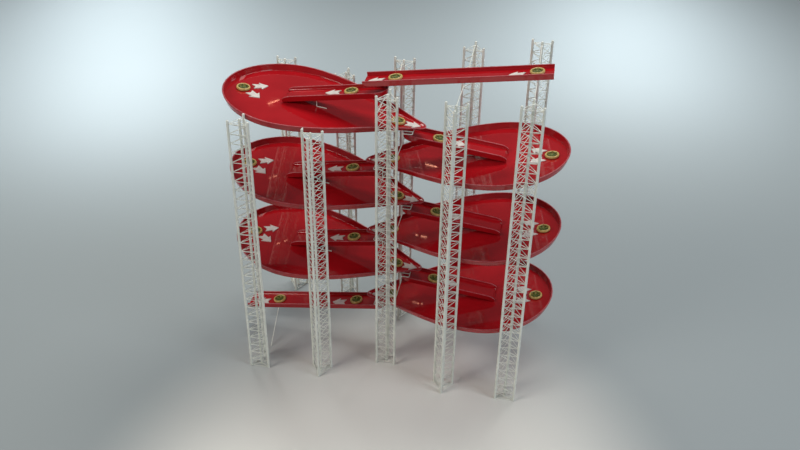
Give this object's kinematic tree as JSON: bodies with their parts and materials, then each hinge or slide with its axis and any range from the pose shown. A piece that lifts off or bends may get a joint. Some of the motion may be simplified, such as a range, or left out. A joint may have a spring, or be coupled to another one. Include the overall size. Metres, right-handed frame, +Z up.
{
  "type": "scale model of a water slide tower",
  "caption": "Presentation scale model of a raft water slide: glossy red teardrop dishes, ramps and chutes stacked between white triangular lattice towers, with round rafts on them",
  "frame": {"origin": "on the floor under the middle of the model, between the two middle towers", "axes": "+X along the model from the left dishes to the right dishes, +Y from the front towers to the back towers, +Z up"},
  "size_m": [0.6184, 0.3012, 0.6141],
  "materials": {
    "tray_red": "gloss",
    "tower_enamel": "satin",
    "wire_enamel": "satin",
    "raft_yellow": "satin"
  },
  "bodies": {
    "root": {"tower_front_1": "tower_enamel", "tower_front_2": "tower_enamel", "tower_front_3": "tower_enamel", "tower_front_4": "tower_enamel", "tower_front_5": "tower_enamel", "tower_back_1": "tower_enamel", "tower_back_2": "tower_enamel", "tower_back_3": "tower_enamel", "tower_back_4": "tower_enamel", "tower_back_5": "tower_enamel", "cradle_1": "wire_enamel", "cradle_2": "wire_enamel", "cradle_3": "wire_enamel", "cradle_4": "wire_enamel", "cradle_5": "wire_enamel", "cradle_6": "wire_enamel", "cradle_7": "wire_enamel", "chute_hanger_3": "wire_enamel", "chute_hanger_4": "wire_enamel", "chute_hanger_5": "wire_enamel", "exit_trestle": "wire_enamel", "dish_left_1": "tray_red", "dish_left_2": "tray_red", "dish_left_3": "tray_red", "dish_right_1": "tray_red", "dish_right_2": "tray_red", "dish_right_3": "tray_red", "ramp_left_1": "tray_red", "ramp_left_2": "tray_red", "ramp_left_3": "tray_red", "ramp_right_1": "tray_red", "ramp_right_2": "tray_red", "ramp_right_3": "tray_red", "top_chute": "tray_red", "exit_chute": "tray_red", "raft_start_1": "raft_yellow", "raft_start_2": "raft_yellow", "raft_ramp_left_1": "raft_yellow", "raft_ramp_left_2": "raft_yellow", "raft_ramp_left_3": "raft_yellow", "raft_ramp_right_1": "raft_yellow", "raft_ramp_right_2": "raft_yellow", "raft_ramp_right_3": "raft_yellow", "raft_dish_left_1": "raft_yellow", "raft_dish_left_2": "raft_yellow", "raft_dish_left_3": "raft_yellow", "raft_dish_right_1": "raft_yellow", "raft_dish_right_2": "raft_yellow", "raft_dish_right_3": "raft_yellow", "raft_neck_left_1": "raft_yellow", "raft_neck_left_2": "raft_yellow", "raft_neck_left_3": "raft_yellow", "raft_neck_right_1": "raft_yellow", "raft_neck_right_2": "raft_yellow", "raft_neck_right_3": "raft_yellow", "raft_exit_1": "raft_yellow", "raft_exit_2": "raft_yellow"}
  },
  "joints": []
}
